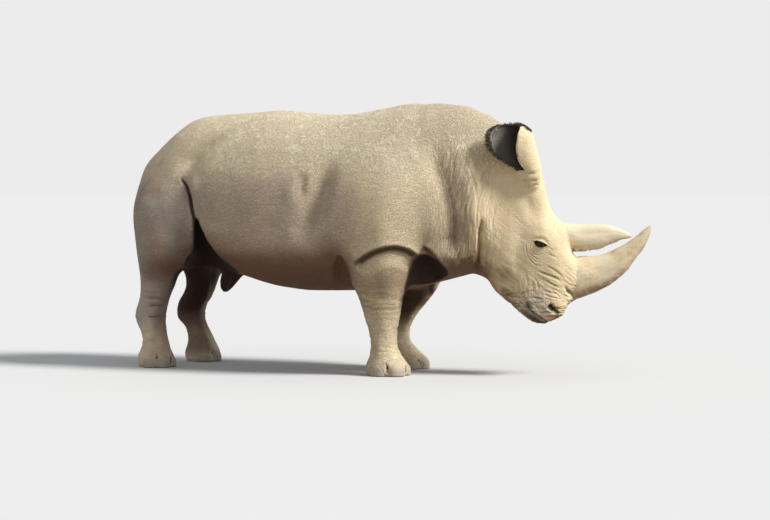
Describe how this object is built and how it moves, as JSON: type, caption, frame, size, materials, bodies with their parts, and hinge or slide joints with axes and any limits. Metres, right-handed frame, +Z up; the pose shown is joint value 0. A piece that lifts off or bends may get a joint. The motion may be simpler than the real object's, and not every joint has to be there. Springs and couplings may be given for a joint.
{
  "type": "white rhinoceros",
  "caption": "Life-size white rhinoceros bull standing square on flat soles, its long head held low and turned a little to its left, with a long front horn and a shorter blade-like rear one.",
  "frame": {"origin": "middle of the floor rectangle that the animal covers, at the height of its soles", "axes": "+X from the rump towards the head, +Y to the animal's left, +Z up"},
  "size_m": [3.4774, 1.0402, 1.7214],
  "materials": {
    "hide": "thick, cracked and folded, dusted with dry tan mud over grey",
    "horn": "packed fibres, worn smooth, stained with earth",
    "nail": "dull, worn and dusty",
    "eye": "wet and dark brown",
    "hair": "coarse dark bristle"
  },
  "bodies": {
    "root": {"trunk": "hide", "neck": "hide", "head": "hide", "lower_jaw": "hide", "ear_left": "hide", "ear_right": "hide", "eye_left": "eye", "eye_right": "eye", "horn_front": "horn", "horn_rear": "horn", "leg_fore_left": "hide", "leg_fore_right": "hide", "leg_hind_left": "hide", "leg_hind_right": "hide", "foot_fore_left": "hide", "foot_fore_right": "hide", "foot_hind_left": "hide", "foot_hind_right": "hide", "nail_fore_left_inner": "nail", "nail_fore_left_middle": "nail", "nail_fore_left_outer": "nail", "nail_fore_right_inner": "nail", "nail_fore_right_middle": "nail", "nail_fore_right_outer": "nail", "nail_hind_left_inner": "nail", "nail_hind_left_middle": "nail", "nail_hind_left_outer": "nail", "nail_hind_right_inner": "nail", "nail_hind_right_middle": "nail", "nail_hind_right_outer": "nail", "sheath": "hide", "tail": "hide", "tail_tuft": "hair"}
  },
  "joints": []
}
